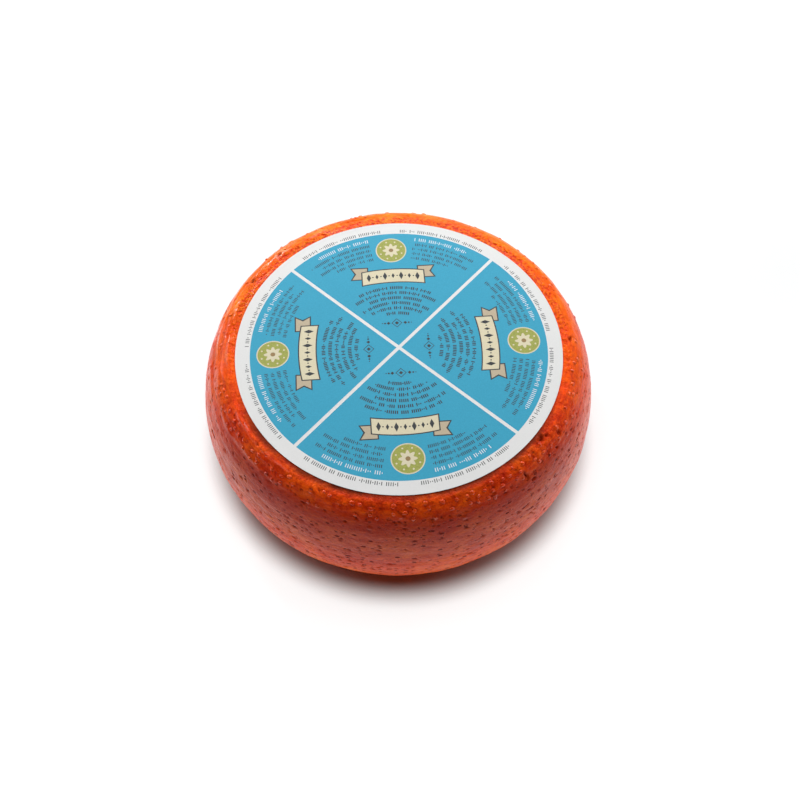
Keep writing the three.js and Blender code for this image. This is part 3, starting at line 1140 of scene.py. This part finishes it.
def coating_weight(shader):
    """The glossy coating, which lies on the raised marks and crests too, and is broken in the hollows."""
    shine = shader.times(shader.gloss, shader.ramp(shader.height, GLOSS_BY_HEIGHT))
    shine = shader.math("MAXIMUM", shine, shader.times(shader.strip, STRIP_COATING))
    coating = shader.math("MAXIMUM", shader.ramp(shader.height, COATING), shine)
    return shader.mix(shader.dark, coating, opaque(grey(0.0)))


def rind_surface(shader):
    """Grains beside the label, rough skin in front, strands round the side, an uneven skin and the pits."""
    normal = shader.bump(shader.times(shader.grain, shader.strip), 1.6 * MM, 0.9)
    normal = shader.bump(shader.times(shader.skin, shader.rough_skin), 1.4 * MM, 0.6, normal)
    normal = shader.bump(shader.strands, 1.0 * MM, 0.20, normal)
    normal = shader.bump(shader.noise(430, 3, 0.6, 1.8), 0.7 * MM, 0.50, normal)
    normal = shader.bump(shader.times(shader.pit, -1.0), 0.8 * MM, 0.9, normal)
    normal = shader.bump(shader.times(shader.fine_pit, -1.0), 0.4 * MM, 0.7, normal)
    return shader.bump(shader.noise(1500, 2, 0.6, 1.5), 0.1 * MM, 0.30, normal)


def rind_material():
    """A glossy coloured coating over cheese: red-orange with painted light and shade, darker in hollows
    partly by painted shade, with fine pits.
    """
    shader = RindShader()
    rough = shader.ramp(shader.noise(160, 3, 0.6, 2.0), ROUGHNESS)
    shader.set(
        Base_Color=marked_colour(shader, coating_colour(shader)),
        Roughness=shader.mix(shader.dark, rough, opaque(grey(HOLLOW_ROUGHNESS))),
        Specular_IOR_Level=0.06,
        Coat_Weight=coating_weight(shader),
        Coat_Roughness=0.10,
        Normal=rind_surface(shader),
    )
    return shader.material


# Each ink's colour, and how much the paper's grain shows in it
INK_LOOKS = {
    "paper": ((0.738, 0.738, 0.732), 0.02),
    "blue": ((0.040, 0.345, 0.520), 0.05),
    "white": ((0.72, 0.75, 0.77), 0.02),
    "dark": ((0.045, 0.050, 0.055), 0.15),
    "cream": ((0.68, 0.62, 0.44), 0.05),
    "shade": ((0.50, 0.42, 0.30), 0.06),
    "green": ((0.34, 0.36, 0.085), 0.16),
    "gold": ((0.30, 0.20, 0.09), 0.10),
}
INK_ROUGHNESS = ((0.3, grey(0.54)), (0.7, grey(0.66)))


def ink_material(name):
    """Printed paper: an ink with a faint paper grain in its colour, finish and surface."""
    colour, grain = INK_LOOKS[name]
    shader = Shader(f"ink_{name}")
    tint = shader.ramp(shader.noise(1500, 2, 0.7), [(0.3, grey(1 - grain)), (0.7, grey(1 + grain))])
    shader.set(
        Base_Color=shader.tinted(opaque(colour), tint),
        Roughness=shader.ramp(shader.noise(700, 2, 0.5), INK_ROUGHNESS),
        Specular_IOR_Level=0.2,
        Normal=shader.bump(shader.noise(2600, 2, 0.6), 0.06 * MM, 0.3),
    )
    return shader.material


# ----
# Studio
# ----

FLOOR_SIZE = 6.0
FLOOR_GREY = 0.50
# The floor glows, a painted light: most in front, where it fills the wheel's shadow, and not under the
# wheel, which leaves a painted contact shadow round its foot.
GLOW_FRONT = 0.80
GLOW_BACK = 0.39
GLOW_TURN = (-0.12, 0.12)  # how far back the glow is the front's and the back's
GLOW_COLOUR = (0.97, 1.0, 1.0)
# the glow's edge paints the contact shadow round the wheel's foot
CONTACT_SHADOW_RADIUS = (0.0875, 0.1034)  # from the axis: where the glow starts and where it is full
WORLD_GREY = 0.02
# name, azimuth, elevation, distance, width, height and power of each soft light
LIGHTS = (
    ("back", 90, 30, 0.75, 0.70, 0.50, 5.0),
    ("glint", 122, 36, 1.0, 0.10, 0.34, 1.5),
    ("top", 90, 84, 1.0, 0.80, 0.50, 2.4),
    ("left", 153, 36, 1.0, 0.90, 0.70, 3.4),
    ("right", 28, 35, 1.0, 0.90, 0.70, 4.3),
)


# painted light on the floor, with a painted contact shadow where it fades out near the wheel
def floor_glow(shader):
    out = shader.node("ShaderNodeVectorMath", operation="LENGTH")
    shader.link(shader.position(), out.inputs[0])
    backward = shader.range(shader.place("Y"), *GLOW_TURN)
    strength = shader.math("MULTIPLY_ADD", backward, GLOW_BACK - GLOW_FRONT, GLOW_FRONT)
    return shader.times(strength, shader.range(out.outputs["Value"], *CONTACT_SHADOW_RADIUS))


def studio_floor():
    half = FLOOR_SIZE / 2
    corners = [(-half, -half, 0), (half, -half, 0), (half, half, 0), (-half, half, 0)]
    shader = Shader("floor")
    shader.set(
        Base_Color=opaque(grey(FLOOR_GREY)), Roughness=0.6, Specular_IOR_Level=0.1,
        Emission_Color=opaque(GLOW_COLOUR), Emission_Strength=floor_glow(shader),
    )
    mesh_object("floor", corners, [[0, 1, 2, 3]], [shader.material])


def area_light(name, azimuth, elevation, distance, width, height, power):
    light = bpy.data.lights.new(name, "AREA")
    light.shape = "RECTANGLE"
    light.size = width
    light.size_y = height
    light.energy = power
    lamp = bpy.data.objects.new(name, light)
    turn, rise = math.radians(azimuth), math.radians(elevation)
    towards = Vector((math.cos(turn) * math.cos(rise), math.sin(turn) * math.cos(rise), math.sin(rise)))
    lamp.location = towards * distance
    lamp.rotation_euler = (-lamp.location).to_track_quat("-Z", "Y").to_euler()
    bpy.context.scene.collection.objects.link(lamp)


def studio_lights():
    for row in LIGHTS:
        area_light(*row)
    world = bpy.data.worlds.new("studio")
    world.use_nodes = True
    world.node_tree.nodes["Background"].inputs["Color"].default_value = opaque(grey(WORLD_GREY))
    bpy.context.scene.world = world
    bpy.context.scene.view_settings.view_transform = "Standard"


def studio_camera():
    data = bpy.data.cameras.new("camera")
    data.sensor_width = SENSOR
    data.lens = SENSOR * FOCAL_PIXELS / PHOTO_PIXELS
    data.clip_start = 0.01
    camera = bpy.data.objects.new("camera", data)
    back = Vector((0, -math.cos(CAMERA_ELEVATION), math.sin(CAMERA_ELEVATION)))
    target = Vector((LABEL_MIDDLE.x, LABEL_MIDDLE.y, LABEL_FACE))
    camera.location = target + back * CAMERA_DISTANCE
    camera.rotation_euler = (CAMERA_TILT, 0, CAMERA_TURN)
    bpy.context.scene.collection.objects.link(camera)
    bpy.context.scene.camera = camera


# ----
# Scene
# ----

studio_camera()
studio_lights()
studio_floor()

for piece in cheese_rind(rind_material()):
    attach(piece, "root")
    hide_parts("cheese_wheel")

label = label_sheet([ink_material(name) for name in INKS])
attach(label, "root")
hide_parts("paper_label")
